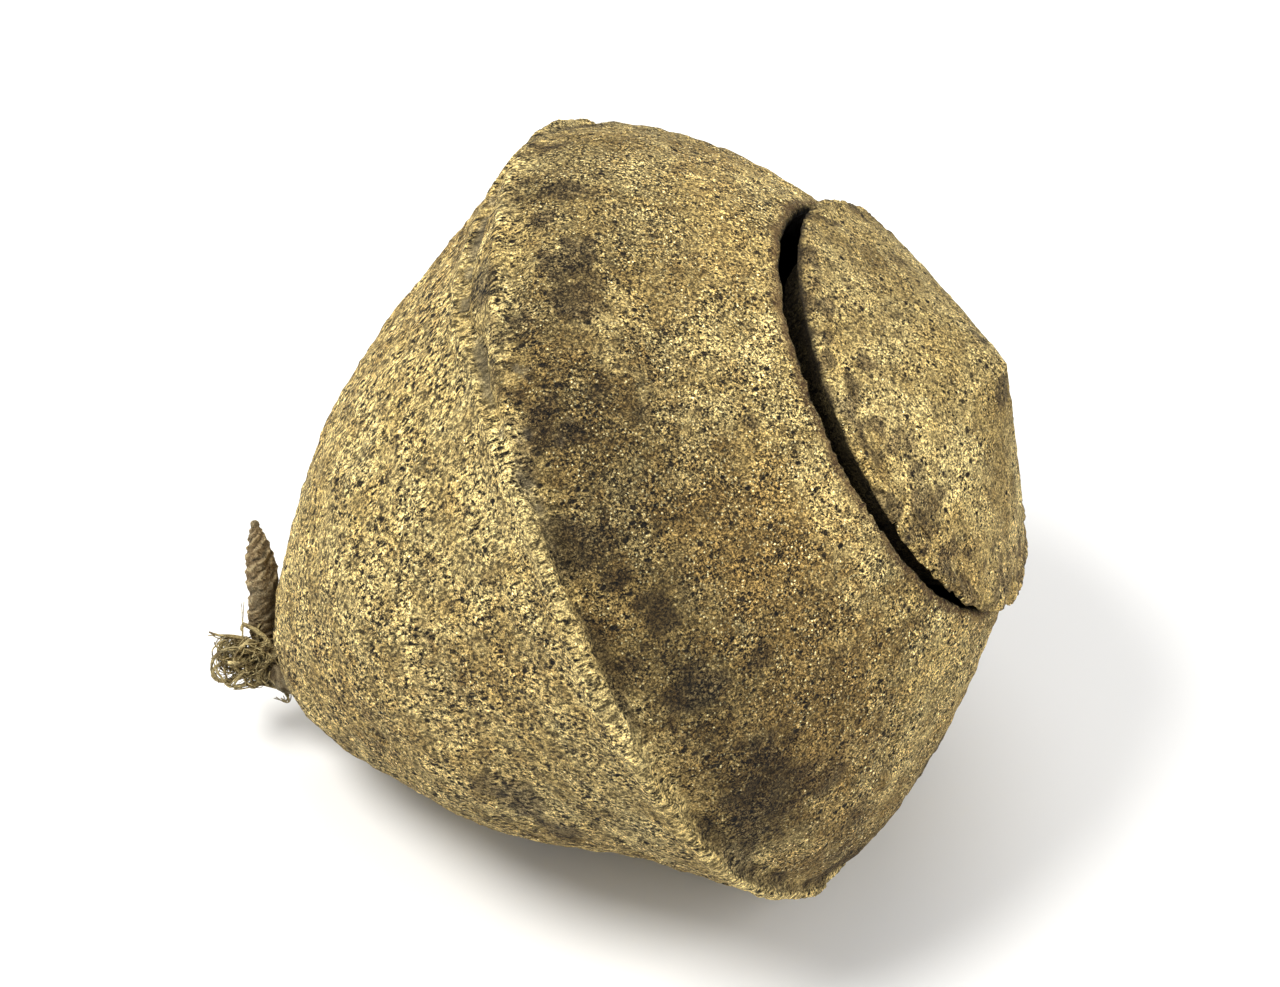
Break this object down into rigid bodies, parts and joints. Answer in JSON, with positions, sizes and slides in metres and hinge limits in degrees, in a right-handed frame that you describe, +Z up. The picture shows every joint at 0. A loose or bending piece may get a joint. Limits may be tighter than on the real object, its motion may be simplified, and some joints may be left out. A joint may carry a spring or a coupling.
{
  "type": "paradise nut fruit",
  "caption": "Dried woody fruit of the paradise nut lying on its side: a ringed pot with its domed lid slipped open, and a curled stalk with frayed bark.",
  "frame": {"origin": "on the surface that the fruit lies on, under the middle of its box seen from above", "axes": "+Z up; +X towards the lid, along the fruit's long side as seen from above; the fruit's own axis rises to +X by 31 degrees"},
  "size_m": [0.1284, 0.1228, 0.1098],
  "materials": {
    "pot_wood": "rough, dry and grainy, with paler crusts, dark specks and grey worn patches",
    "lid_wood": "rough and dry, greyer on its steep edge",
    "stalk_bark": "matt, wrinkled, dark grey-brown",
    "bark_fibre": "matt frayed fibre"
  },
  "bodies": {
    "root": {"pot": "pot_wood", "lid": "lid_wood", "stalk": "stalk_bark", "bark_fibres": "bark_fibre"}
  },
  "joints": []
}
